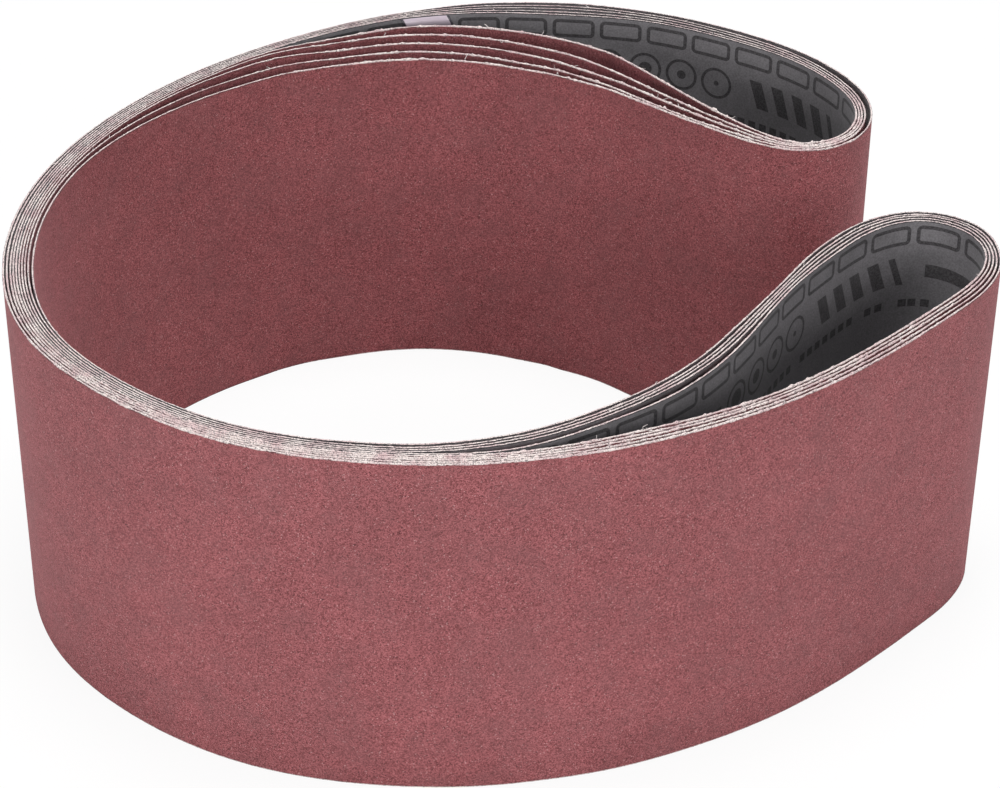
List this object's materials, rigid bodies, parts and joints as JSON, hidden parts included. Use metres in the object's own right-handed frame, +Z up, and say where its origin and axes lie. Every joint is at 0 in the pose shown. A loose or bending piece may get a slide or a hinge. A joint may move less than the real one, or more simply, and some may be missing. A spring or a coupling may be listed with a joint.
{
  "type": "sanding belt bundle",
  "caption": "Endless coated-cloth sanding belts nested in one another and folded into a C, standing on edge, grit outwards, with a slanting taped splice on each bare inner side.",
  "frame": {"origin": "in the plane of the lower cut edges, under the middle of the folded pack's box", "axes": "+X from the closed back of the C to the noses of its two eyes, +Y from the front eye to the back eye, +Z up across the belts' width"},
  "size_m": [0.3868, 0.3542, 0.15],
  "materials": {
    "abrasive_cloth": "brown-red aluminium oxide grit bonded to cotton cloth, matt; the bare side dark grey cloth, the cut edges off-white and frayed",
    "splice_tape": "smooth pale lavender film, satin"
  },
  "bodies": {
    "root": {"belt_1": "abrasive_cloth", "belt_2": "abrasive_cloth", "belt_3": "abrasive_cloth", "belt_4": "abrasive_cloth", "belt_5": "abrasive_cloth", "splice_tape_1": "splice_tape", "splice_tape_2": "splice_tape", "splice_tape_3": "splice_tape", "splice_tape_4": "splice_tape", "splice_tape_5": "splice_tape"}
  },
  "joints": []
}
